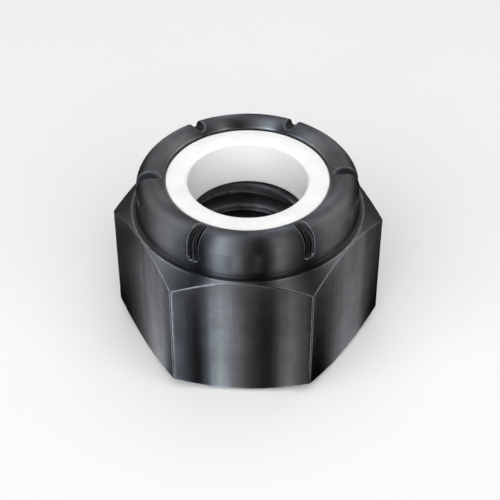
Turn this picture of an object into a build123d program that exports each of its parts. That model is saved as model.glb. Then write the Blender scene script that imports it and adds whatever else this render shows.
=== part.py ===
from build123d import *
from math import cos, radians, sin, sqrt, tan
import os

# Nylon insert lock nut, M6 x 1 right-hand thread, high form.
# Millimetres. Origin at the centre of the bearing face, +Z along the thread
# axis towards the nylon ring, two of the six flats facing -Y and +Y.

# hexagon
across_flats = 10.0
corner_round = 0.15          # radius of the six upright edges
bearing_d = 9.4              # flat ring that meets the joint
bottom_chamfer_deg = 30.0
top_chamfer_deg = 36.0

# collar above the hexagon
height = 7.9                 # bearing face to the crest of the rolled lip
collar_d = 9.36
collar_base_z = 6.20
shelf_r = 4.93               # narrow flat ring around the collar's foot, inside the chamfer
collar_root_fillet = 0.10
shoulder_r = 0.60            # outside bend of the lip
roll_r = 0.95                # lip curling down on to the ring
roll_deg = 42.0
lip_thickness = 0.42
tip_round = 0.10

# recess that holds the ring
recess_d = 8.36
seat_z = 5.47
recess_top_z = 7.16

# thread, left as a plain bore at its minor diameter
minor_d = 4.917
countersink_d = 6.4
countersink_deg = 60.0       # half of the 120 degree countersink
upper_countersink_d = 5.55
upper_countersink_deg = 30.0   # half of the 60 degree lead-out under the ring

# nylon ring
insert_bore_d = 5.03
insert_top_z = 7.62
insert_bore_round = 0.15

# crimp notches across the lip and down the collar
notch_count = 6
notch_offset_deg = 5.0       # from the hexagon's corners
notch_r = 0.25
notch_rise = 0.07            # the groove's centre stands this far off the collar, so it is 0.18 deep
notch_foot_z = 6.85          # centre of the rounded lower end
notch_lift_deg = 6.0         # the groove rises inward over the lip, so it fades out before the ring

corner_r = across_flats / sqrt(3)
collar_r = collar_d / 2
bearing_r = bearing_d / 2
recess_r = recess_d / 2
minor_r = minor_d / 2
crest_r = collar_r - shoulder_r
roll_z = height - roll_r     # centre of the lip's curl

# the lip: outer tip, inner tip and the start of its underside
tip_out = (crest_r - roll_r * sin(radians(roll_deg)), roll_z + roll_r * cos(radians(roll_deg)))
under_r = roll_r - lip_thickness
tip_in = (crest_r - under_r * sin(radians(roll_deg)), roll_z + under_r * cos(radians(roll_deg)))
under_mid = (crest_r - under_r * sin(radians(roll_deg / 2)), roll_z + under_r * cos(radians(roll_deg / 2)))
under_top = (crest_r, roll_z + under_r)

# where the ring's flat top meets the end face of the lip
t_top = (insert_top_z - tip_in[1]) / (tip_out[1] - tip_in[1])
ring_edge = (tip_in[0] + t_top * (tip_out[0] - tip_in[0]), insert_top_z)

cs_low_z = (countersink_d / 2 - minor_r) / tan(radians(countersink_deg))
cs_high_z = seat_z - (upper_countersink_d / 2 - minor_r) / tan(radians(upper_countersink_deg))

# one groove, in the XZ half plane: up the collar wall, over the shoulder and
# in across the lip, where it runs out with a round end before the ring
notch_axis_r = collar_r + notch_rise
with BuildPart() as notch_groove:
    with BuildLine(Plane.XZ) as notch_path:
        wall = Line((notch_axis_r, notch_foot_z), (notch_axis_r, height - shoulder_r))
        bend = JernArc(start=wall @ 1, tangent=wall % 1, radius=shoulder_r + notch_rise, arc_size=90 - notch_lift_deg)
        Line(bend @ 1, bend @ 1 + (bend % 1) * 1.0)
    with BuildSketch(Plane.XY.offset(notch_foot_z)):
        with Locations((notch_axis_r, 0)):
            Circle(notch_r)
    sweep(path=notch_path.wire())
    with Locations((notch_axis_r, 0, notch_foot_z)):
        Sphere(notch_r)

# steel body: hexagon, chamfers, collar with its rolled lip, recess and bore
with BuildPart() as nut_body:
    with BuildSketch(Plane.XY) as hexagon:
        RegularPolygon(radius=across_flats / 2, side_count=6, major_radius=False)
        fillet(hexagon.vertices(), corner_round)
    extrude(amount=collar_base_z)

    # both chamfers are cones about the thread axis
    reach = corner_r + 1.0
    with BuildSketch(Plane.XZ) as envelope:
        with BuildLine():
            Polyline(
                (0, 0),
                (bearing_r, 0),
                (reach, (reach - bearing_r) * tan(radians(bottom_chamfer_deg))),
                (reach, collar_base_z - (reach - shelf_r) * tan(radians(top_chamfer_deg))),
                (shelf_r, collar_base_z),
                (0, collar_base_z),
                close=True,
            )
        make_face()
    revolve(axis=Axis.Z, mode=Mode.INTERSECT)

    # collar with its shoulder and the lip curling in
    with BuildSketch(Plane.XZ) as collar:
        with BuildLine():
            side = Polyline((0, seat_z - 0.6), (collar_r - 0.3, seat_z - 0.6), (collar_r, collar_base_z - 0.4), (collar_r, height - shoulder_r))
            shoulder = JernArc(start=side @ 1, tangent=(0, 1), radius=shoulder_r, arc_size=90)
            curl = JernArc(start=shoulder @ 1, tangent=(-1, 0), radius=roll_r, arc_size=roll_deg)
            Line(curl @ 1, (0, tip_out[1]))
            Line((0, tip_out[1]), (0, seat_z - 0.6))
        make_face()
    revolve(axis=Axis.Z)

    # recess under the lip, thread bore and its two countersinks
    with BuildSketch(Plane.XZ) as hollow:
        with BuildLine():
            Polyline(
                (0, -1),
                (countersink_d / 2, -1),
                (countersink_d / 2, 0),
                (minor_r, cs_low_z),
                (minor_r, cs_high_z),
                (upper_countersink_d / 2, seat_z),
                (recess_r, seat_z),
                (recess_r, recess_top_z),
                under_top,
            )
            ThreePointArc(under_top, under_mid, tip_in)
            Polyline(tip_in, tip_out, (tip_out[0], height + 1), (0, height + 1), (0, -1))
        make_face()
    revolve(axis=Axis.Z, mode=Mode.SUBTRACT)

    # edge where the collar rises from the hexagon
    root = nut_body.edges().filter_by(GeomType.CIRCLE).filter_by(
        lambda e: abs(e.radius - collar_r) < 1e-4 and abs(e.center().Z - collar_base_z) < 1e-4
    )
    fillet(root, collar_root_fillet)

    # the lip's tip
    tip = nut_body.edges().filter_by(GeomType.CIRCLE).filter_by(
        lambda e: abs(e.radius - tip_out[0]) < 1e-4 and abs(e.center().Z - tip_out[1]) < 1e-4
    )
    fillet(tip, tip_round)

    with PolarLocations(0, notch_count, start_angle=notch_offset_deg):
        add(notch_groove.part, mode=Mode.SUBTRACT)

nut_body.part.label = "nut_body"

# nylon ring, filling the recess up to the underside of the lip
with BuildPart() as nylon_insert:
    with BuildSketch(Plane.XZ) as ring:
        with BuildLine():
            Polyline(
                ring_edge,
                (insert_bore_d / 2, insert_top_z),
                (insert_bore_d / 2, seat_z),
                (recess_r, seat_z),
                (recess_r, recess_top_z),
                under_top,
            )
            ThreePointArc(under_top, under_mid, tip_in)
            Line(tip_in, ring_edge)
        make_face()
    revolve(axis=Axis.Z)
    mouth = nylon_insert.edges().filter_by(GeomType.CIRCLE).filter_by(
        lambda e: abs(e.radius - insert_bore_d / 2) < 1e-4 and abs(e.center().Z - insert_top_z) < 1e-4
    )
    fillet(mouth, insert_bore_round)

nylon_insert.part.label = "nylon_insert"

os.makedirs("parts", exist_ok=True)
export_step(nut_body.part, "parts/nut_body.step")
export_step(nylon_insert.part, "parts/nylon_insert.step")

print("corner underside z", round((corner_r - bearing_r) * tan(radians(bottom_chamfer_deg)), 3))
print("corner top z", round(collar_base_z - (corner_r - shelf_r) * tan(radians(top_chamfer_deg)), 3))
print("lip tip", [round(v, 3) for v in tip_out], "ring edge", [round(v, 3) for v in ring_edge])
print("thread wall z", round(cs_low_z, 3), round(cs_high_z, 3), "length", round(cs_high_z - cs_low_z, 3))
print("volumes", round(nut_body.part.volume, 2), round(nylon_insert.part.volume, 2))
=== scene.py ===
import math

import bpy
import numpy as np
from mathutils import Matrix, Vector


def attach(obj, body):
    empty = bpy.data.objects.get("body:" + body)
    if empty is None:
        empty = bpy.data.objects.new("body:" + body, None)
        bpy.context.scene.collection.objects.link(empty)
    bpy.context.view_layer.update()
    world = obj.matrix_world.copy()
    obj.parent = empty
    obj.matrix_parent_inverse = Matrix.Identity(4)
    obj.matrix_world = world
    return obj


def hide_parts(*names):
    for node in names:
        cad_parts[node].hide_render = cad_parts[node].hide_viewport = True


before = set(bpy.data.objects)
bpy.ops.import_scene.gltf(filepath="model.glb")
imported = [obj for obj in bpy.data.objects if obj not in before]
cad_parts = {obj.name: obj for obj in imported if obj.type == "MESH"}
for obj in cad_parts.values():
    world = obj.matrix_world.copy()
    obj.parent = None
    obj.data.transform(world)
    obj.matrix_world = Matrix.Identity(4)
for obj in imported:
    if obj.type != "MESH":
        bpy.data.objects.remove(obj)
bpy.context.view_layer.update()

MM = 0.001

# ---------------------------------------------------------------- dimensions
# millimetres, the same frame as the solids: origin at the centre of the
# bearing face, +Z along the thread axis, corners of the hexagon on +-X
FLAT_R = 5.0
CORNER_ROUND = 0.15
BEARING_R = 4.7
BOTTOM_DEG, TOP_DEG = 30.0, 36.0
COLLAR_R, COLLAR_Z = 4.68, 6.20
SHELF_R, ROOT_FILLET = 4.93, 0.10
SHOULDER_R, SHOULDER_Z = 0.60, 7.30
CREST_R = COLLAR_R - SHOULDER_R
ROLL_R, ROLL_Z, ROLL_DEG = 0.95, 6.95, 42.0
UNDER_R = 0.53
TIP_ROUND = 0.10
RECESS_R, RECESS_TOP, SEAT_Z = 4.18, 7.16, 5.47
NOTCH_R, NOTCH_RISE, NOTCH_FOOT, NOTCH_DEG, NOTCH_RIM = 0.25, 0.07, 6.85, 5.0, 0.04
LIFT = math.radians(6.0)     # the groove rises inward over the lip by this, so it fades out before the ring
PITCH, MINOR_R, MAJOR_R = 1.0, 2.4585, 3.0
LOW_CONE_R, LOW_CONE_SLOPE = 3.2, math.tan(math.radians(60))
HIGH_CONE_R, HIGH_CONE_SLOPE = 2.775, math.tan(math.radians(30))
RING_BORE_R, RING_TOP = 2.515, 7.62
THREAD_PHASE = 0.30          # height of a crest above the seat at angle 0, in pitches


def lerp(a, b, t):
    return a + (b - a) * t


# ------------------------------------------------------------ the nut's mesh
def sector_columns():
    """Angles in degrees, from just before a corner to just before the next: close at the corner's round and across the notch beside it."""
    cols = [-0.75, -0.5, -0.25, 0.0, 0.25, 0.5, 0.75]
    steps = [0.058, 0.110, 0.155, 0.186, 0.206, 0.220, 0.2313, 0.2405, 0.2500, 0.2592, 0.2683, 0.297]
    per_mm = math.degrees(1 / COLLAR_R)
    cols += [NOTCH_DEG - t * per_mm for t in reversed(steps)]
    cols += [NOTCH_DEG]
    cols += [NOTCH_DEG + t * per_mm for t in steps]
    start = NOTCH_DEG + 0.37 * per_mm
    n = 32
    cols += [start + (59.25 - start) * k / n for k in range(n)]
    return cols


SECTOR = sector_columns()
THETA = np.radians([60.0 * s + a for s in range(6) for a in SECTOR])
NC = len(THETA)

# plan outline of the hexagon with its rounded corners
local = np.radians((np.degrees(THETA) + 30.0) % 60.0 - 30.0)
corner_c = (FLAT_R - CORNER_ROUND) / math.cos(math.radians(30))
turn = math.atan2(CORNER_ROUND * 0.5, corner_c + CORNER_ROUND * math.cos(math.radians(30)))
in_round = np.abs(local) < turn
HEX_R = np.where(
    in_round,
    corner_c * np.cos(local) + np.sqrt(np.maximum(CORNER_ROUND**2 - (corner_c * np.sin(local)) ** 2, 0)),
    FLAT_R / np.cos(math.radians(30) - np.abs(local)),
)

# angle from the nearest notch, and how the columns spread on the lip, so that they follow its edges
from_notch = np.radians((np.degrees(THETA) - NOTCH_DEG + 30.0) % 60.0 - 30.0)
notch_at = THETA - from_notch
ZONE = 0.37 / COLLAR_R


def spread(scale):
    d = np.abs(from_notch)
    near = d * scale
    far = ZONE * scale + (d - ZONE) * (math.pi / 6 - ZONE * scale) / (math.pi / 6 - ZONE)
    return notch_at + np.sign(from_notch) * np.where(d <= ZONE, near, far)


def notch_depth(q, rise):
    """Depth of a round groove with softened edges, at distance q from its middle, whose centre stands rise above the surface."""
    t_far = half_width(rise)
    t_mid = t_far * NOTCH_R / (NOTCH_R + NOTCH_RIM)
    inner = np.sqrt(np.maximum(NOTCH_R**2 - q**2, 0)) - rise
    outer = NOTCH_RIM - np.sqrt(np.maximum(NOTCH_RIM**2 - (q - t_far) ** 2, 0))
    return np.where(q < t_mid, inner, np.where(q < t_far, outer, 0.0))


def half_width(rise):
    return math.sqrt(max((NOTCH_R + NOTCH_RIM) ** 2 - (NOTCH_RIM + rise) ** 2, 0.0))


def path_rise(r, z):
    """How far the groove's straight run over the lip stands above a point of the lip."""
    return SHOULDER_R + NOTCH_RISE - (r - CREST_R) * math.sin(LIFT) - (z - SHOULDER_Z) * math.cos(LIFT)


def squeeze(rise):
    return max(half_width(rise), 0.10) / half_width(NOTCH_RISE)


rows = []          # each is r, z, theta over the columns
hollow_shades = []       # and how far each point lies in a groove or inner corner, 0 to 1, which sets how much painted shade it gets


def add_row(r, z, theta=None, hollow_shade=0.0):
    ones = np.ones(NC)
    rows.append((r * ones, z * ones, THETA if theta is None else theta))
    hollow_shades.append(hollow_shade * ones)


def rounded(p, d1, d2, radius, n):
    """Points of a round between two directions that meet at p, one pair of arrays for each step."""
    cos_t = d1[0] * d2[0] + d1[1] * d2[1]
    t = np.arccos(np.clip(cos_t, -1, 1))
    side = ((d2[0] - cos_t * d1[0]) / np.sin(t), (d2[1] - cos_t * d1[1]) / np.sin(t))
    back = radius * np.tan(t / 2)
    start = (p[0] - d1[0] * back, p[1] - d1[1] * back)
    out = []
    for k in range(n + 1):
        a = t * k / n
        out.append(
            (
                start[0] + radius * (np.sin(a) * d1[0] + (1 - np.cos(a)) * side[0]),
                start[1] + radius * (np.sin(a) * d1[1] + (1 - np.cos(a)) * side[1]),
            )
        )
    return out


tb, tt = math.radians(BOTTOM_DEG), math.radians(TOP_DEG)
low_z = (HEX_R - BEARING_R) * math.tan(tb)
high_z = COLLAR_Z - (HEX_R - SHELF_R) * math.tan(tt)

# bearing face, from the countersink's softened edge outward
low_edge = rounded((LOW_CONE_R, 0.0), (0.866025, -0.5), (1.0, 0.0), 0.11, 4)
for r, z in low_edge[1:]:
    add_row(r, z)
for r in (3.32, 3.5, 3.75, 4.0, 4.25, 4.5, 4.62):
    add_row(r, 0.0)
for r, z in rounded((BEARING_R, 0.0), (1.0, 0.0), (math.cos(tb), math.sin(tb)), 0.12, 4):
    add_row(r, z)
# lower chamfer to the flat
soft = 0.075
low_round = rounded((HEX_R, low_z), (math.cos(tb), math.sin(tb)), (0.0, 1.0), soft, 5)
r0, z0 = rows[-1][0], rows[-1][1]
for t in (0.2, 0.4, 0.6, 0.8):
    add_row(lerp(r0, low_round[0][0], t), lerp(z0, low_round[0][1], t))
for r, z in low_round:
    add_row(r, z)
# the flats
high_round = rounded((HEX_R, high_z), (0.0, 1.0), (-math.cos(tt), math.sin(tt)), soft, 5)
z0, z1 = low_round[-1][1], high_round[0][1]
for t in (0.008, 0.03, 0.12, 0.25, 0.38, 0.5, 0.62, 0.75, 0.88, 0.97, 0.992):
    add_row(HEX_R, lerp(z0, z1, t))
for r, z in high_round:
    add_row(r, z)
# upper chamfer, the narrow flat ring inside it and the collar's root
shelf = rounded((SHELF_R, COLLAR_Z), (-math.cos(tt), math.sin(tt)), (-1.0, 0.0), 0.06, 4)
root = rounded((COLLAR_R, COLLAR_Z), (-1.0, 0.0), (0.0, 1.0), ROOT_FILLET, 6)
r0, z0 = rows[-1][0], rows[-1][1]
for t in (0.10, 0.28, 0.46, 0.64, 0.80, 0.92):
    add_row(lerp(r0, shelf[0][0], t), lerp(z0, shelf[0][1], t))
for r, z in shelf:
    add_row(r, z)
# painted shade on the shelf beside the collar and in the collar's root round, darkest in the round's middle
add_row(lerp(shelf[-1][0], root[0][0], 0.5), COLLAR_Z, hollow_shade=0.25)
for (r, z), deep in zip(root, (0.55, 0.8, 0.9, 0.9, 0.75, 0.5, 0.2)):
    add_row(r, z, hollow_shade=deep)


def lip_row(r, z, push, rise, hollow_shade=0.0):
    """A row of the collar or lip, pressed in along push where it crosses a notch."""
    theta = spread(COLLAR_R / r * squeeze(rise))
    q = np.hypot(r * np.abs(theta - notch_at), max(0.0, NOTCH_FOOT - z))
    d = notch_depth(q, rise)
    rows.append((r + push[0] * d, z + push[1] * d, theta))
    # painted shade inside a notch, darker the deeper it is cut
    hollow_shades.append(np.maximum(np.clip(d / (0.40 * NOTCH_R), 0, 1), hollow_shade))


# collar wall, close rows at the notches' feet
for z in (6.36, 6.44, 6.51, 6.553, 6.568, 6.580, 6.589, 6.598, 6.607, 6.615, 6.624, 6.636, 6.654, 6.678, 6.71,
          6.75, 6.80, 6.85, 6.91, 6.97, 7.04, 7.11, 7.18, 7.24, 7.30):
    lip_row(COLLAR_R, z, (-1.0, 0.0), NOTCH_RISE)
# shoulder
for k in range(1, 17):
    a = math.radians(90.0 * k / 16)
    r, z = CREST_R + SHOULDER_R * math.cos(a), SHOULDER_Z + SHOULDER_R * math.sin(a)
    lip_row(r, z, (-math.cos(a), -math.sin(a)), max(path_rise(r, z), NOTCH_RISE) if k > 14 else NOTCH_RISE)
# the lip's roll
tip_turn = math.degrees(math.asin(TIP_ROUND / (ROLL_R - TIP_ROUND)))
roll_end = ROLL_DEG - tip_turn
for b in (2.9, 5.9, 8.8, 11.7, 14.6, 17.0, 19.0, 21.0, 23.0, 24.6, 26.0, 27.2, 28.2, 29.1, 29.9, 30.8, 32.2, 33.7, roll_end):
    b = math.radians(b)
    r, z = CREST_R - ROLL_R * math.sin(b), ROLL_Z + ROLL_R * math.cos(b)
    lip_row(r, z, (math.sin(b), -math.cos(b)), path_rise(r, z))
b42 = math.radians(ROLL_DEG)
tip_out = (CREST_R - ROLL_R * math.sin(b42), ROLL_Z + ROLL_R * math.cos(b42))
tip_in = (CREST_R - UNDER_R * math.sin(b42), ROLL_Z + UNDER_R * math.cos(b42))
tip_rise = path_rise(*tip_out)
inward = (math.sin(b42), -math.cos(b42))
cb = math.radians(roll_end)
tip_c = (CREST_R - (ROLL_R - TIP_ROUND) * math.sin(cb), ROLL_Z + (ROLL_R - TIP_ROUND) * math.cos(cb))
# painted shade on the lip's end beside the ring, rising to full at its inner edge
for k in range(1, 9):
    g = math.radians(lerp(roll_end, 132.0, k / 8))
    lip_row(tip_c[0] - TIP_ROUND * math.sin(g), tip_c[1] + TIP_ROUND * math.cos(g), inward, tip_rise, hollow_shade=max(0.0, k / 8 - 0.4) / 0.6)
start_r, start_z = tip_c[0] - TIP_ROUND * math.sin(math.radians(132)), tip_c[1] + TIP_ROUND * math.cos(math.radians(132))
for t in (0.3, 0.65, 1.0):
    lip_row(lerp(start_r, tip_in[0], t), lerp(start_z, tip_in[1], t), inward, tip_rise, hollow_shade=1.0)
# underside of the lip and the recess, which the ring fills
s_tip = COLLAR_R / tip_in[0] * squeeze(tip_rise)
for k in range(1, 5):
    b = math.radians(ROLL_DEG * (1 - k / 4))
    add_row(CREST_R - UNDER_R * math.sin(b), ROLL_Z + UNDER_R * math.cos(b), spread(lerp(s_tip, 1.0, k / 4)))
add_row(RECESS_R, RECESS_TOP)
for z in (6.7, 6.3, 5.9, 5.6):
    add_row(RECESS_R, z)
add_row(RECESS_R, SEAT_Z)


def thread_r(u):
    """Radius of the thread at u pitches from the middle of a crest, with its corners a little worn."""
    w = np.abs((u + 0.5) % 1.0 - 0.5)
    flank = math.sqrt(3) * (w - 0.125) * PITCH
    top = 0.5 * (flank + np.sqrt(flank**2 + 0.018**2))
    deep = MAJOR_R - MINOR_R
    gap = deep - top
    return MINOR_R + deep - 0.5 * (gap + np.sqrt(gap**2 + 0.05**2)) + 0.0012


Z0 = SEAT_Z + THREAD_PHASE * PITCH


def bore_r(theta, z):
    u = (Z0 + PITCH * theta / (2 * math.pi) - z) / PITCH
    low = LOW_CONE_R - z * LOW_CONE_SLOPE
    high = HIGH_CONE_R - (SEAT_Z - z) * HIGH_CONE_SLOPE
    return np.maximum(thread_r(u), np.maximum(low, high))


turn_0 = THETA - THETA[0]      # runs from 0 to just under a full turn
top_ring = bore_r(turn_0, SEAT_Z)
for t in (0.2, 0.45, 0.7, 0.9):
    add_row(lerp(RECESS_R, top_ring, t), SEAT_Z)
add_row(top_ring, SEAT_Z)

verts, faces, zone = [], [], []


def put(r, z, theta):
    verts.append((r * math.cos(theta), r * math.sin(theta), z))
    return len(verts) - 1


grid = [[put(r[c], z[c], th[c]) for c in range(NC)] for r, z, th in rows]
for a, b in zip(grid[:-1], grid[1:]):
    for c in range(NC):
        n = (c + 1) % NC
        faces.append((a[c], a[n], b[n], b[c]))

# the thread, in rows that follow its helix and end on the two level rings
PHASES = [0.0, 0.085, 0.122, 0.155, 0.215, 0.30, 0.385, 0.435, 0.5, 0.565, 0.615, 0.70, 0.785, 0.845, 0.878, 0.915]
m = len(PHASES)
top_ids = grid[-1]
z_bottom = low_edge[0][1]
bottom_r = bore_r(turn_0, z_bottom)
bottom_ids = [put(bottom_r[c], z_bottom, THETA[c]) for c in range(NC)]
turns = int(math.ceil((Z0 + PITCH - z_bottom) / PITCH)) + 1
helix = []
for j in range(turns):
    for ph in PHASES:
        z = Z0 + PITCH * (turn_0 / (2 * math.pi) - j - ph)
        r = bore_r(turn_0, z)
        helix.append(
            [
                top_ids[c] if z[c] > SEAT_Z - 0.012 else bottom_ids[c] if z[c] < z_bottom + 0.012 else put(r[c], z[c], THETA[c])
                for c in range(NC)
            ]
        )


def helix_id(k, c):
    if c == NC:
        k, c = k - m, 0
    if k < 0:
        return top_ids[c]
    return helix[k][c] if k < len(helix) else bottom_ids[c]


for k in range(-1, len(helix)):
    for c in range(NC):
        quad = [helix_id(k, c), helix_id(k, c + 1), helix_id(k + 1, c + 1), helix_id(k + 1, c)]
        loop = [v for i, v in enumerate(quad) if v != quad[i - 1]]
        if len(loop) >= 3 and len(set(loop)) == len(loop):
            faces.append(tuple(loop))
for c in range(NC):
    n = (c + 1) % NC
    faces.append((bottom_ids[c], bottom_ids[n], grid[0][n], grid[0][c]))


def mesh_from(name, verts, faces):
    mesh = bpy.data.meshes.new(name)
    mesh.from_pydata([(x * MM, y * MM, z * MM) for x, y, z in verts], [], faces)
    mesh.update()
    mesh.polygons.foreach_set("use_smooth", [True] * len(mesh.polygons))
    obj = bpy.data.objects.new(name, mesh)
    bpy.context.scene.collection.objects.link(obj)
    return obj


def corner_normals(mesh):
    """Vertex normals weighted by area, so that flat faces stay flat and only the rounds beside them bend."""
    n = len(mesh.vertices)
    co = np.empty(n * 3)
    mesh.vertices.foreach_get("co", co)
    co = co.reshape(-1, 3) * 1000.0
    total = np.zeros((n, 3))
    mesh.calc_loop_triangles()
    tri = np.empty(len(mesh.loop_triangles) * 3, dtype=np.int64)
    mesh.loop_triangles.foreach_get("vertices", tri)
    tri = tri.reshape(-1, 3)
    cross = np.cross(co[tri[:, 1]] - co[tri[:, 0]], co[tri[:, 2]] - co[tri[:, 0]])
    for k in range(3):
        np.add.at(total, tri[:, k], cross)
    total /= np.maximum(np.linalg.norm(total, axis=1, keepdims=True), 1e-12)
    mesh.normals_split_custom_set_from_vertices([tuple(v) for v in total])
    return co, total


def bend_of(mesh, co, normal):
    """How sharply the surface bends outward at each vertex, in 1/mm."""
    edge = np.empty(len(mesh.edges) * 2, dtype=np.int64)
    mesh.edges.foreach_get("vertices", edge)
    edge = edge.reshape(-1, 2)
    d = co[edge[:, 1]] - co[edge[:, 0]]
    dn = normal[edge[:, 1]] - normal[edge[:, 0]]
    k = (d * dn).sum(1) / np.maximum((d * d).sum(1), 1e-6)
    out = np.full(len(co), -1e9)
    np.maximum.at(out, edge[:, 0], k)
    np.maximum.at(out, edge[:, 1], k)
    return out


def set_attribute(mesh, name, values):
    layer = mesh.attributes.new(name, "FLOAT", "POINT")
    layer.data.foreach_set("value", np.asarray(values, dtype=np.float32))


nut = mesh_from("nut_body_shown", verts, faces)
co, normal = corner_normals(nut.data)
bend = bend_of(nut.data, co, normal)
# the painted shade of grooves and inner corners goes into an attribute for the material; rubbed edges are kept out of
# it there
hollow_shade = np.zeros(len(verts))
hollow_shade[: len(rows) * NC] = np.concatenate(hollow_shades)
set_attribute(nut.data, "hollow_shade", hollow_shade)
set_attribute(nut.data, "worn", np.clip((bend - 2.0) / 6.0, 0, 1) * (1 - hollow_shade))

# zones: 0 flats, 1 turned faces and the collar, 2 bore and thread
face_zone = []
for p in nut.data.polygons:
    c = p.center * 1000
    rr = math.hypot(c.x, c.y)
    up = abs(p.normal.z)
    if rr < 3.18 and c.z < SEAT_Z + 0.01:
        face_zone.append(2)
    elif up < 0.2 and rr > 4.75:
        face_zone.append(0)
    else:
        face_zone.append(1)
nut.data.polygons.foreach_set("material_index", face_zone)

# ------------------------------------------------------ the nylon ring's mesh
ring_rows = []
RN = 240
gap = 0.012


def arc(cr, cz, rad, a0, a1, n):
    return [(cr + rad * math.cos(math.radians(lerp(a0, a1, k / n))), cz + rad * math.sin(math.radians(lerp(a0, a1, k / n)))) for k in range(n + 1)]


# bore wall upward, mouth round, crowned top, soft edge down along the lip's end
profile = [(RING_BORE_R + 0.03, SEAT_Z + 0.002)]
profile += arc(RING_BORE_R + 0.05, SEAT_Z + 0.052, 0.05, 225, 180, 3)[1:]
profile += [(RING_BORE_R, z) for z in np.linspace(SEAT_Z + 0.1, RING_TOP - 0.17, 16)]
profile += arc(RING_BORE_R + 0.15, RING_TOP - 0.15, 0.15, 180, 90, 10)
for t in np.linspace(0.06, 1.0, 12):
    r = lerp(RING_BORE_R + 0.15, 3.395, t)
    profile.append((r, RING_TOP + 0.018 * math.sin(math.pi * t) ** 1.5))
n_top = len(profile)
profile += arc(3.385, RING_TOP - 0.07, 0.07, 90, 30, 6)[1:]
pe = (lerp(tip_out[0], tip_in[0], 0.22) - gap * math.cos(b42), lerp(tip_out[1], tip_in[1], 0.22) - gap * math.sin(b42))
profile.append(pe)
profile.append((tip_in[0] - gap, tip_in[1] - gap))
for k in range(1, 5):
    b = math.radians(ROLL_DEG * (1 - k / 4))
    profile.append((CREST_R - (UNDER_R - gap) * math.sin(b), ROLL_Z + (UNDER_R - gap) * math.cos(b)))
profile.append((RECESS_R - gap, RECESS_TOP))
profile += [(RECESS_R - gap, z) for z in (6.7, 6.2, 5.7)]
profile.append((RECESS_R - gap, SEAT_Z + 0.002))
profile += [(r, SEAT_Z + 0.002) for r in (3.8, 3.3, 2.9)]

rv, rf = [], []
np_r = np.array([p[0] for p in profile])
np_z = np.array([p[1] for p in profile])
for k in range(RN):
    th = 2 * math.pi * k / RN
    wave = 0.006 * math.sin(2 * th + 0.7) + 0.004 * math.sin(5 * th + 2.1) + 0.0025 * math.sin(11 * th)
    for r, z in zip(np_r, np_z):
        top = min(1.0, max(0.0, (z - 7.4) / 0.2)) if 2.55 < r < 3.43 else 0.0
        rv.append((r * math.cos(th), r * math.sin(th), z + wave * top))
n_p = len(profile)
for k in range(RN):
    j = (k + 1) % RN
    for i in range(n_p):
        ii = (i + 1) % n_p
        # the profile runs up the bore and outward over the top
        rf.append((k * n_p + i, k * n_p + ii, j * n_p + ii, j * n_p + i))
ring = mesh_from("nylon_insert_shown", rv, rf)
rco, rnormal = corner_normals(ring.data)
# painted shade: the ring's rim down along the lip's end is darkened, a dark line in the crease between ring and steel
crease_painted_shade = [0.0] * n_p
for i in range(n_top, n_p):
    crease_painted_shade[i] = min(1.0, (i - n_top + 1) / 5)
set_attribute(ring.data, "crease_painted_shade", crease_painted_shade * RN)
# painted light: the ring's bore wall is coloured paler than its top, to make up for the light it misses
bore_painted_light = [min(1.0, max(0.0, (RING_BORE_R + 0.08 - r) / 0.08)) for r, z in profile]
set_attribute(ring.data, "bore_painted_light", bore_painted_light * RN)


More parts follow.
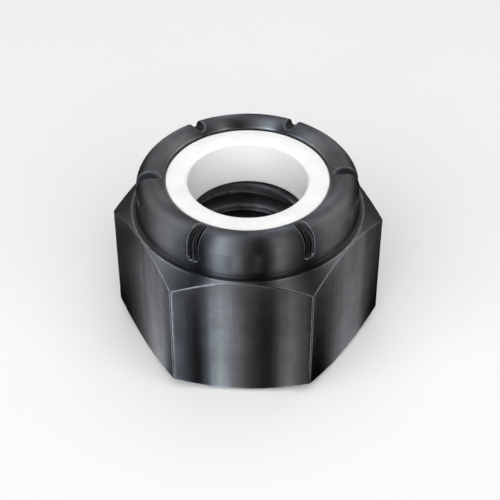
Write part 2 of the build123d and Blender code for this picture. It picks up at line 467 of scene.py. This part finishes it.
# ------------------------------------------------------------------ materials
class Nodes:
    def __init__(self, name):
        self.mat = bpy.data.materials.new(name)
        self.mat.use_nodes = True
        self.tree = self.mat.node_tree
        self.bsdf = self.tree.nodes["Principled BSDF"]
        self.out = self.tree.nodes["Material Output"]

    def new(self, kind, **values):
        n = self.tree.nodes.new(kind)
        for k, v in values.items():
            setattr(n, k, v)
        return n

    def link(self, a, b):
        self.tree.links.new(a, b)

    def feed(self, socket, value):
        if isinstance(value, bpy.types.NodeSocket):
            self.link(value, socket)
        else:
            socket.default_value = value

    def math(self, op, a, b=0.0, clamp=False):
        n = self.new("ShaderNodeMath", operation=op, use_clamp=clamp)
        self.feed(n.inputs[0], a)
        self.feed(n.inputs[1], b)
        return n.outputs[0]

    def coords(self, scale):
        t = self.new("ShaderNodeTexCoord")
        mp = self.new("ShaderNodeMapping")
        mp.inputs["Scale"].default_value = scale
        self.link(t.outputs["Object"], mp.inputs["Vector"])
        return mp.outputs["Vector"]

    def around(self, k_radial, k_height, k_turn):
        """Coordinates along a turned surface: radius and height in mm, angle in turns, each scaled."""
        t = self.new("ShaderNodeTexCoord")
        s = self.new("ShaderNodeSeparateXYZ")
        self.link(t.outputs["Object"], s.inputs[0])
        x, y, z = s.outputs
        r = self.math("SQRT", self.math("ADD", self.math("MULTIPLY", x, x), self.math("MULTIPLY", y, y)))
        a = self.math("ARCTAN2", y, x)
        c = self.new("ShaderNodeCombineXYZ")
        self.link(self.math("MULTIPLY", r, 1000.0 * k_radial), c.inputs[0])
        self.link(self.math("MULTIPLY", z, 1000.0 * k_height), c.inputs[1])
        self.link(self.math("MULTIPLY", a, k_turn), c.inputs[2])
        return c.outputs[0]

    def noise(self, vector, scale, detail=2.0, rough=0.5, distortion=0.0):
        n = self.new("ShaderNodeTexNoise")
        n.inputs["Scale"].default_value = scale
        n.inputs["Detail"].default_value = detail
        n.inputs["Roughness"].default_value = rough
        n.inputs["Distortion"].default_value = distortion
        self.link(vector, n.inputs["Vector"])
        return n.outputs["Fac"]

    def ramp(self, fac, stops, smooth=False):
        n = self.new("ShaderNodeValToRGB")
        el = n.color_ramp.elements
        while len(el) > 1:
            el.remove(el[-1])
        for i, (pos, col) in enumerate(stops):
            e = el[0] if i == 0 else el.new(pos)
            e.position = pos
            e.color = (*col, 1.0) if isinstance(col, tuple) else (col, col, col, 1.0)
        if smooth:
            n.color_ramp.interpolation = "EASE"
        self.link(fac, n.inputs["Fac"])
        return n.outputs["Color"]

    def mix(self, fac, a, b, blend="MIX"):
        n = self.new("ShaderNodeMix", data_type="RGBA", blend_type=blend)
        self.feed(n.inputs["Factor"], fac)
        for sock, v in ((n.inputs[6], a), (n.inputs[7], b)):
            if isinstance(v, tuple):
                v = (*v, 1.0)
            self.feed(sock, v)
        return n.outputs[2]

    def scale_to(self, fac, lo, hi):
        n = self.new("ShaderNodeMapRange")
        self.link(fac, n.inputs["Value"])
        n.inputs["To Min"].default_value = lo
        n.inputs["To Max"].default_value = hi
        return n.outputs["Result"]

    def attribute(self, name):
        n = self.new("ShaderNodeAttribute", attribute_name=name)
        return n.outputs["Fac"]

    def bump(self, height, strength, distance_mm, normal=None):
        n = self.new("ShaderNodeBump")
        n.inputs["Strength"].default_value = strength
        n.inputs["Distance"].default_value = distance_mm * MM
        self.link(height, n.inputs["Height"])
        if normal is not None:
            self.link(normal, n.inputs["Normal"])
        return n.outputs["Normal"]


def black_steel(name, kind):
    """Blackened steel. kind is flat (drawn lines up the flats), turned (rings about the axis) or bore (cut thread, oily)."""
    s = Nodes(name)
    b = s.bsdf
    mm = s.coords((1000.0, 1000.0, 1000.0))
    mottle = s.noise(mm, 1.1, 4.0, 0.55)
    patches = s.noise(mm, 3.4, 3.0, 0.6)
    grain = s.noise(mm, 26.0, 3.0, 0.6)
    if kind == "flat":
        lines = s.noise(s.coords((1000.0, 1000.0, 38.0)), 7.0, 5.0, 0.62)
        broad = s.noise(s.coords((1000.0, 1000.0, 22.0)), 1.35, 1.0, 0.4)
    elif kind == "turned":
        lines = s.noise(s.around(1.0, 1.0, 0.35), 11.0, 4.0, 0.62)
        broad = s.noise(s.around(0.25, 0.25, 2.4), 1.5, 1.0, 0.4)
    else:
        lines = s.noise(s.around(1.0, 1.0, 0.9), 16.0, 4.0, 0.6)
        broad = mottle
    # fine marks from handling, in two slanted directions
    scratch = None
    for turn_deg, seed in ((24.0, 0.0), (-37.0, 7.3)):
        t = s.new("ShaderNodeTexCoord")
        mp = s.new("ShaderNodeMapping")
        mp.inputs["Rotation"].default_value = (math.radians(turn_deg), math.radians(turn_deg * 0.6), math.radians(turn_deg))
        mp.inputs["Scale"].default_value = (9500.0, 9500.0, 420.0)
        mp.inputs["Location"].default_value = (seed, seed, seed)
        s.link(t.outputs["Object"], mp.inputs["Vector"])
        f = s.noise(mp.outputs["Vector"], 1.0, 1.0, 0.5)
        thin = s.ramp(f, [(0.0, 0.0), (0.735, 0.0), (0.78, 1.0), (1.0, 1.0)])
        scratch = thin if scratch is None else s.math("MAXIMUM", scratch, thin)

    # colour: blackened steel, patchy, paler where edges are rubbed; on the turned faces, painted shade darkens the
    # grooves and inner corners
    dark, mid = ((0.075, 0.076, 0.079), (0.118, 0.120, 0.125)) if kind != "bore" else ((0.026, 0.026, 0.027), (0.064, 0.064, 0.066))
    base = s.mix(s.ramp(mottle, [(0.30, 0.0), (0.72, 1.0)]), dark, mid)
    base = s.mix(s.scale_to(lines, 0.0, 0.55), base, (0.030, 0.030, 0.032) if kind == "bore" else (0.085, 0.087, 0.091))
    base = s.mix(s.math("MULTIPLY", scratch, 0.10), base, (0.30, 0.31, 0.33))
    rub = s.math("MULTIPLY", s.attribute("worn"), s.ramp(patches, [(0.34, 0.25), (0.66, 1.0)]))
    base = s.mix(s.math("MULTIPLY", rub, 0.38 if kind != "bore" else 0.30), base, (0.34, 0.35, 0.37))
    # painted shade: grooves, the collar's inner corner and the lip's end beside the ring are darkened almost to black
    if kind == "turned":
        base = s.mix(s.math("MULTIPLY", s.attribute("hollow_shade"), 0.86), base, (0.011, 0.011, 0.012))
    s.link(base, b.inputs["Base Color"])
    b.inputs["Metallic"].default_value = 0.72 if kind == "bore" else 1.0
    b.inputs["Specular Tint"].default_value = (0.55, 0.55, 0.56, 1.0)

    # sheen of the finish: satin, streaked, smoother where rubbed
    lo, hi = {"flat": (0.12, 0.19), "turned": (0.24, 0.34), "bore": (0.34, 0.48)}[kind]
    rough = s.scale_to(s.math("ADD", s.math("MULTIPLY", lines, 0.55), s.math("MULTIPLY", patches, 0.45)), lo - 0.04, hi + 0.04)
    rough = s.math("SUBTRACT", rough, s.math("MULTIPLY", rub, 0.08))
    s.link(rough, b.inputs["Roughness"])
    if kind != "bore":
        b.inputs["Anisotropic"].default_value = 0.88 if kind == "flat" else 0.95
        b.inputs["Anisotropic Rotation"].default_value = 0.25
        tan = s.new("ShaderNodeTangent", direction_type="RADIAL", axis="Z")
        s.link(tan.outputs["Tangent"], b.inputs["Tangent"])

    nrm = s.bump(broad, 0.5, {"flat": 0.020, "turned": 0.010, "bore": 0.01}[kind])
    nrm = s.bump(lines, 0.35, {"flat": 0.0015, "turned": 0.004, "bore": 0.012}[kind], nrm)
    nrm = s.bump(grain, 0.35, 0.0015, nrm)
    nrm = s.bump(scratch, -0.3, 0.002, nrm)
    s.link(nrm, b.inputs["Normal"])
    return s.mat


def white_nylon(name):
    s = Nodes(name)
    b = s.bsdf
    mm = s.coords((1000.0, 1000.0, 1000.0))
    cloud = s.noise(mm, 1.3, 3.0, 0.5)
    grain = s.noise(mm, 30.0, 3.0, 0.6)
    rings = s.noise(s.around(1.0, 1.0, 0.5), 12.0, 3.0, 0.55)
    base = s.mix(s.ramp(cloud, [(0.3, 0.0), (0.7, 1.0)]), (0.805, 0.805, 0.79), (0.88, 0.88, 0.87))
    base = s.mix(s.scale_to(rings, 0.0, 0.12), base, (0.74, 0.74, 0.725))
    # painted light: paler on the bore wall
    base = s.mix(s.math("MULTIPLY", s.attribute("bore_painted_light"), 0.85), base, (0.97, 0.97, 0.962))
    # painted shade in the crease where the ring meets the lip
    base = s.mix(s.math("MULTIPLY", s.attribute("crease_painted_shade"), 0.9), base, (0.10, 0.10, 0.10))
    s.link(base, b.inputs["Base Color"])
    s.link(s.scale_to(s.math("ADD", s.math("MULTIPLY", rings, 0.5), s.math("MULTIPLY", grain, 0.5)), 0.34, 0.56), b.inputs["Roughness"])
    b.inputs["Subsurface Weight"].default_value = 0.25
    b.inputs["Subsurface Radius"].default_value = (1.0, 0.95, 0.88)
    b.inputs["Subsurface Scale"].default_value = 0.00035
    b.inputs["IOR"].default_value = 1.53
    nrm = s.bump(rings, 0.3, 0.010)
    nrm = s.bump(grain, 0.3, 0.005, nrm)
    nrm = s.bump(cloud, 0.25, 0.06, nrm)
    s.link(nrm, b.inputs["Normal"])
    return s.mat


for mat in (black_steel("black_steel_flats", "flat"), black_steel("black_steel_turned", "turned"), black_steel("black_steel_thread", "bore")):
    nut.data.materials.append(mat)
ring.data.materials.append(white_nylon("white_nylon"))

for piece, node, slot_name in ((nut, "nut_body", "black_steel"), (ring, "nylon_insert", "white_nylon")):
    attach(piece, "root")
    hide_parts(node)

# ---------------------------------------------------------------------- stage
# the camera's place, which the studio's strips are laid out for
CAM_AZ, CAM_EL, CAM_MM = math.radians(2.90), math.radians(40.76), 60.0
CAM_SIDE, CAM_UP = 0.10, 3.653
to_cam = Vector((math.sin(CAM_AZ) * math.cos(CAM_EL), -math.cos(CAM_AZ) * math.cos(CAM_EL), math.sin(CAM_EL)))
cam_right = Vector((math.cos(CAM_AZ), math.sin(CAM_AZ), 0.0))
cam_at = cam_right * CAM_SIDE + Vector((0, 0, CAM_UP)) + to_cam * CAM_MM


WORLD_GAIN, FLAT_GAIN, SIDE_GAIN = 1.0, 1.35, 2.1
LOW_FULL, LOW_END = 7.0, 7.4
PATCH_LEFT, PATCH_RIGHT = 0.95, 0.95


def plane(name, size, z):
    mesh = bpy.data.meshes.new(name)
    h = size / 2
    mesh.from_pydata([(-h, -h, z), (h, -h, z), (h, h, z), (-h, h, z)], [], [(0, 1, 2, 3)])
    obj = bpy.data.objects.new(name, mesh)
    bpy.context.scene.collection.objects.link(obj)
    return obj


floor = plane("floor", 1.2, -0.00001)
f = Nodes("pale_floor")
f.link(f.mix(f.noise(f.coords((60.0, 60.0, 60.0)), 1.0, 3.0), (0.86, 0.86, 0.86), (0.88, 0.88, 0.88)), f.bsdf.inputs["Base Color"])
f.bsdf.inputs["Roughness"].default_value = 0.9
f.bsdf.inputs["Specular IOR Level"].default_value = 0.0
# seen from below the floor is clear, so that the bearing face can be looked at
clear = f.new("ShaderNodeBsdfTransparent")
sides_mix = f.new("ShaderNodeMixShader")
f.link(f.new("ShaderNodeNewGeometry").outputs["Backfacing"], sides_mix.inputs[0])
f.link(f.bsdf.outputs[0], sides_mix.inputs[1])
f.link(clear.outputs[0], sides_mix.inputs[2])
f.link(sides_mix.outputs[0], f.out.inputs["Surface"])
floor.data.materials.append(f.mat)
floor.visible_glossy = False

# studio light: a tent whose soft strips fan out from a point high behind the nut, down its sides and front
world = bpy.data.worlds.new("studio")
bpy.context.scene.world = world
world.use_nodes = True
wt = world.node_tree
bg = wt.nodes["Background"]
tc = wt.nodes.new("ShaderNodeTexCoord")


def vector_step(op, a, b=None):
    n = wt.nodes.new("ShaderNodeVectorMath")
    n.operation = op
    wt.links.new(a, n.inputs[0])
    if b is not None:
        n.inputs[1].default_value = b
    return n.outputs["Value" if op == "DOT_PRODUCT" else "Vector"]


apex = (-to_cam.x, -to_cam.y, 0.0)
fan = vector_step("SUBTRACT", vector_step("MULTIPLY", tc.outputs["Generated"], (1.0, 1.0, 0.0)), apex)
across = vector_step("DOT_PRODUCT", vector_step("NORMALIZE", fan), tuple(cam_right))
mr = wt.nodes.new("ShaderNodeMapRange")
mr.inputs["From Min"].default_value = -1.0
mr.inputs["From Max"].default_value = 1.0
wt.links.new(across, mr.inputs["Value"])
cr = wt.nodes.new("ShaderNodeValToRGB")
# place across the fan, brightness, coolness
STRIPS = [
    (-1.0, 0.05, 0), (-0.97, 0.14, 0), (-0.91, 0.45, 0), (-0.85, 0.95, 0), (-0.78, 1.60, 0.2), (-0.71, 1.90, 0.3), (-0.64, 1.35, 0.6),
    (-0.56, 0.70, 1), (-0.48, 0.20, 1), (-0.43, 0.06, 0.6), (-0.385, 0.12, 0.4), (-0.33, 1.50, 0.8), (-0.27, 3.80, 1), (-0.235, 3.50, 1),
    (-0.17, 2.00, 0.5), (-0.10, 1.15, 0.1), (-0.03, 0.46, 0), (0.05, 0.14, 0), (0.12, 0.06, 0), (0.175, 0.10, 0), (0.235, 0.62, 0),
    (0.28, 1.75, 0), (0.36, 0.90, 0), (0.45, 0.28, 0), (0.53, 0.08, 0), (0.60, 0.35, 0), (0.68, 1.05, 0), (0.76, 1.25, 0),
    (0.84, 1.15, 0), (0.90, 0.75, 0), (0.96, 0.20, 0), (1.0, 0.03, 0),
]
el = cr.color_ramp.elements
while len(el) > 1:
    el.remove(el[-1])
for i, (side, v, cool) in enumerate(STRIPS):
    pos = (side + 1) / 2
    e = el[0] if i == 0 else el.new(pos)
    e.position = pos
    v *= 0.2
    e.color = (v * (1 - 0.10 * cool), v, v * (1 + 0.12 * cool), 1.0)
wt.links.new(mr.outputs["Result"], cr.inputs["Fac"])
lit = cr.outputs["Color"]
behind = Vector((-to_cam.x, -to_cam.y, 0.0)).normalized()
high = wt.nodes.new("ShaderNodeMapRange")
high.interpolation_type = "SMOOTHSTEP"
high.inputs["From Min"].default_value = 0.02
high.inputs["From Max"].default_value = 0.56
wt.links.new(vector_step("DOT_PRODUCT", tc.outputs["Generated"], (0.0, 0.0, 1.0)), high.inputs["Value"])
for side, v in ((-1, PATCH_LEFT), (1, PATCH_RIGHT)):
    middle = (cam_right * (0.58 * side) + behind * 0.66 + Vector((0, 0, 0.47))).normalized()
    soft = wt.nodes.new("ShaderNodeMapRange")
    soft.interpolation_type = "SMOOTHSTEP"
    soft.inputs["From Min"].default_value = math.cos(math.radians(36))
    soft.inputs["From Max"].default_value = math.cos(math.radians(16))
    wt.links.new(vector_step("DOT_PRODUCT", tc.outputs["Generated"], tuple(middle)), soft.inputs["Value"])
    wt.links.new(high.outputs["Result"], soft.inputs["To Max"])
    both_lit = wt.nodes.new("ShaderNodeVectorMath")
    both_lit.operation = "MULTIPLY_ADD"
    wt.links.new(soft.outputs["Result"], both_lit.inputs[0])
    both_lit.inputs[1].default_value = (0.2 * v, 0.2 * v, 0.2 * v)
    wt.links.new(lit, both_lit.inputs[2])
    lit = both_lit.outputs["Vector"]
wt.links.new(lit, bg.inputs["Color"])
bg.inputs["Strength"].default_value = 5.0 * WORLD_GAIN
world.cycles_visibility.diffuse = False       # the strips are for the steel's sheen; the softboxes light the rest


# low strips just under the floor's surface, seen only in the steel's sheen: each lies where one flat mirrors it.
# place across the flat in mm, brightness, coolness
LOW = {
    "front": (0.0, FLAT_GAIN, [(-2.95, 0.95, 0.8), (-2.6, 0.66, 1), (-2.3, 0.30, 1), (-2.0, 0.08, 0.5), (-1.75, 0.08, 0.5), (-1.45, 0.55, 0.8), (-1.2, 1.60, 1), (-0.92, 2.55, 1),
                         (-0.7, 2.0, 0.8), (-0.45, 1.35, 0.4), (-0.15, 0.95, 0), (0.15, 0.50, 0), (0.5, 0.22, 0), (0.9, 0.09, 0), (1.2, 0.10, 0), (1.45, 0.25, 0),
                         (1.75, 0.70, 0), (2.02, 1.0, 0), (2.4, 0.58, 0), (2.95, 0.12, 0)]),
    "left": (-60.0, SIDE_GAIN, [(-2.95, 0.0, 0), (-1.9, 0.01, 0), (-1.3, 0.06, 0), (-0.75, 0.13, 0), (-0.2, 0.24, 0), (0.4, 0.50, 0), (0.95, 0.95, 0.1), (1.5, 1.20, 0.2), (2.0, 0.70, 0.6), (2.4, 0.20, 1), (2.95, 0.05, 1)]),
    "right": (60.0, SIDE_GAIN, [(-2.95, 0.0, 0), (-2.1, 0.0, 0), (-1.6, 0.05, 0), (-1.1, 0.30, 0), (-0.6, 0.62, 0), (-0.1, 0.80, 0), (0.4, 0.78, 0), (0.9, 0.76, 0), (1.3, 0.52, 0), (1.7, 0.14, 0), (2.1, 0.0, 0), (2.95, 0.0, 0)]),
    "back": (180.0, FLAT_GAIN, [(-2.95, 0.3, 0), (-1.8, 0.06, 0), (-0.9, 2.6, 0.6), (0.0, 0.9, 0), (1.1, 0.06, 0), (2.0, 1.1, 0), (2.95, 0.1, 0)]),
    "back_left": (-120.0, FLAT_GAIN, [(-2.95, 0.3, 0), (-1.8, 0.06, 0), (-0.9, 2.6, 0.6), (0.0, 0.9, 0), (1.1, 0.06, 0), (2.0, 1.1, 0), (2.95, 0.1, 0)]),
    "back_right": (120.0, FLAT_GAIN, [(-2.95, 0.3, 0), (-1.8, 0.06, 0), (-0.9, 2.6, 0.6), (0.0, 0.9, 0), (1.1, 0.06, 0), (2.0, 1.1, 0), (2.95, 0.1, 0)]),
}
HALF = 2.95
cards = []
for where, (face_deg, gain, stops) in LOW.items():
    fa = math.radians(face_deg)
    n_v, t_v = Vector((math.sin(fa), -math.cos(fa))), Vector((math.cos(fa), math.sin(fa)))
    hidden = where.startswith("back")
    pts, sides, outs, quads = [], [], [], []
    reaches = (0.0, 3.0, LOW_FULL, LOW_END if where == "front" else LOW_END + 2.5)
    for i in range(25):
        t = lerp(-HALF, HALF, i / 24) * 1.25
        p0 = n_v * 5.0 + t_v * t
        ray = p0 - cam_at.xy
        ray = n_v if hidden else (ray - 2 * ray.dot(n_v) * n_v).normalized()
        for h in reaches:
            q = p0 + ray * h
            pts.append((q.x * MM, q.y * MM, -0.3 * MM - 0.02 * MM * len(cards)))
            sides.append((t / HALF + 1) / 2)
            outs.append(1.0 if h <= LOW_FULL else 0.0)
    n_h = len(reaches)
    for i in range(24):
        for j in range(n_h - 1):
            quads.append((i * n_h + j, (i + 1) * n_h + j, (i + 1) * n_h + j + 1, i * n_h + j + 1))
    mesh = bpy.data.meshes.new("low_strip_" + where)
    mesh.from_pydata(pts, [], quads)
    set_attribute(mesh, "across", sides)
    set_attribute(mesh, "along", outs)
    card = bpy.data.objects.new("low_strip_" + where, mesh)
    bpy.context.scene.collection.objects.link(card)
    c = Nodes("low_strip_" + where)
    c.tree.nodes.remove(c.bsdf)
    em = c.new("ShaderNodeEmission")
    top = max(v for _, v, _ in stops)
    col = c.ramp(c.attribute("across"), [((x + HALF) / (2 * HALF), (v / top * (1 - 0.10 * k), v / top, min(v / top * (1 + 0.12 * k), 1.0))) for x, v, k in stops])
    c.link(col, em.inputs["Color"])
    em.inputs["Strength"].default_value = top * gain
    see = c.new("ShaderNodeBsdfTransparent")
    both = c.new("ShaderNodeMixShader")
    c.link(c.attribute("along"), both.inputs[0])
    c.link(see.outputs[0], both.inputs[1])
    c.link(em.outputs[0], both.inputs[2])
    c.link(both.outputs[0], c.out.inputs["Surface"])
    c.mat.cycles.emission_sampling = "NONE"
    mesh.materials.append(c.mat)
    for flag in ("visible_camera", "visible_diffuse", "visible_shadow", "visible_transmission", "visible_volume_scatter"):
        setattr(card, flag, False)
    cards.append(card)

# pale backdrop behind the floor, for low views only
dome_mesh = bpy.data.meshes.new("backdrop")
dv, df = [], []
DN, DM = 48, 12
for i in range(DM + 1):
    e = math.radians(lerp(-20, 90, i / DM))
    for j in range(DN):
        a = 2 * math.pi * j / DN
        dv.append((0.5 * math.cos(e) * math.cos(a), 0.5 * math.cos(e) * math.sin(a), 0.5 * math.sin(e)))
for i in range(DM):
    for j in range(DN):
        k = (j + 1) % DN
        df.append((i * DN + j, i * DN + k, (i + 1) * DN + k, (i + 1) * DN + j))
dome_mesh.from_pydata(dv, [], df)
dome = bpy.data.objects.new("backdrop", dome_mesh)
bpy.context.scene.collection.objects.link(dome)
d = Nodes("pale_backdrop")
d.tree.nodes.remove(d.bsdf)
em = d.new("ShaderNodeEmission")
em.inputs["Color"].default_value = (0.90, 0.90, 0.90, 1.0)
d.link(em.outputs[0], d.out.inputs["Surface"])
d.mat.cycles.emission_sampling = "NONE"
dome_mesh.materials.append(d.mat)
for flag in ("visible_glossy", "visible_diffuse", "visible_shadow", "visible_transmission", "visible_volume_scatter"):
    setattr(dome, flag, False)


def lamp(name, az_deg, el_deg, dist_m, size_m, watts, glossy=False):
    """A square softbox aimed at the nut. Angle 0 is the front, 90 the right."""
    light = bpy.data.lights.new(name, "AREA")
    light.shape, light.size, light.energy = "SQUARE", size_m, watts
    obj = bpy.data.objects.new(name, light)
    bpy.context.scene.collection.objects.link(obj)
    a, e = math.radians(az_deg), math.radians(el_deg)
    pos = Vector((math.sin(a) * math.cos(e), -math.cos(a) * math.cos(e), math.sin(e))) * dist_m
    obj.location = pos
    obj.rotation_mode = "QUATERNION"
    obj.rotation_quaternion = (-pos).to_track_quat("-Z", "Y")
    obj.visible_camera = False
    obj.visible_glossy = glossy
    return obj


lamp("key", -32, 36, 0.30, 0.34, 0.76)
lamp("fill", 36, 36, 0.30, 0.34, 0.65)
lamp("front", 2, 60, 0.34, 0.36, 0.26)
lamp("top", 165, 72, 0.34, 0.40, 0.50)

# ---------------------------------------------------------------------- camera
cam_data = bpy.data.cameras.new("camera")
cam = bpy.data.objects.new("camera", cam_data)
bpy.context.scene.collection.objects.link(cam)
cam.location = cam_at * MM
cam.rotation_mode = "QUATERNION"
cam.rotation_quaternion = (-to_cam).to_track_quat("-Z", "Y")
cam_data.sensor_width = 36.0
cam_data.lens = 1375.0 / 500.0 * 36.0
cam_data.clip_start, cam_data.clip_end = 0.001, 5.0
bpy.context.scene.camera = cam

scene = bpy.context.scene
scene.view_settings.view_transform = "Standard"
scene.view_settings.look = "None"
scene.view_settings.exposure = 0.0
scene.cycles.use_denoising = True
scene.cycles.max_bounces = 10
scene.cycles.diffuse_bounces = 5
scene.cycles.glossy_bounces = 5
